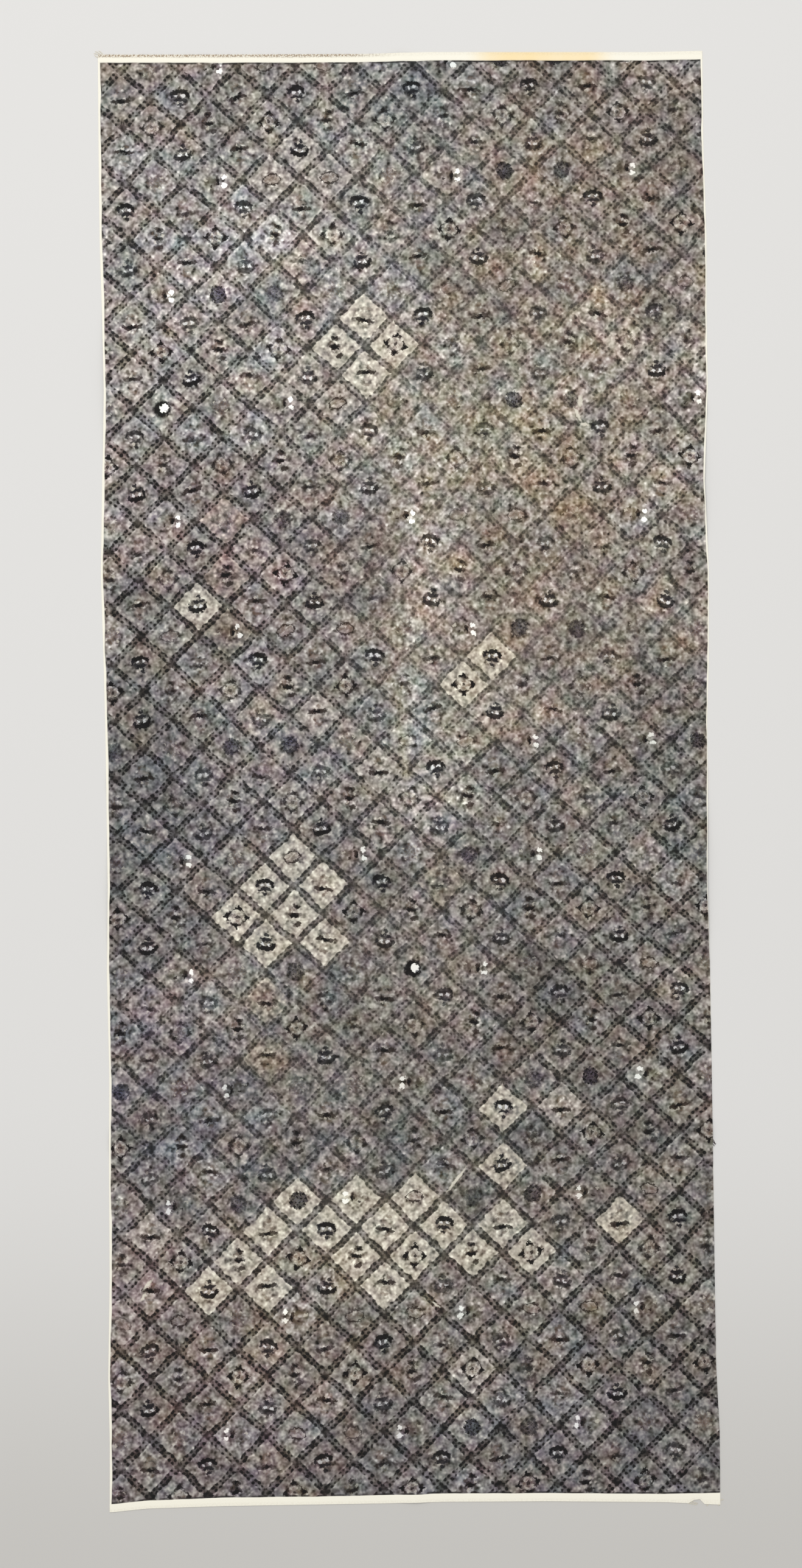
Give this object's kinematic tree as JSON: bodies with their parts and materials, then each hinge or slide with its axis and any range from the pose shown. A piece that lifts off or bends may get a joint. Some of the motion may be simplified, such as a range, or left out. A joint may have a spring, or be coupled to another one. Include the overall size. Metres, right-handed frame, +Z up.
{
  "type": "batik sarong",
  "caption": "Long rectangular wrap cloth of batik cotton, lying flat, with a diamond lattice of small motifs and narrow undyed ends.",
  "frame": {"origin": "on the surface that the cloth lies on, under the middle of its outline", "axes": "+X across the cloth, +Y along it towards its upper end, +Z up out of its face"},
  "size_m": [1.0536, 2.5138, 0.0071],
  "materials": {
    "batik_cotton": "matte wax-resist dyed cotton"
  },
  "bodies": {
    "root": {"sarong_cloth": "batik_cotton"}
  },
  "joints": []
}
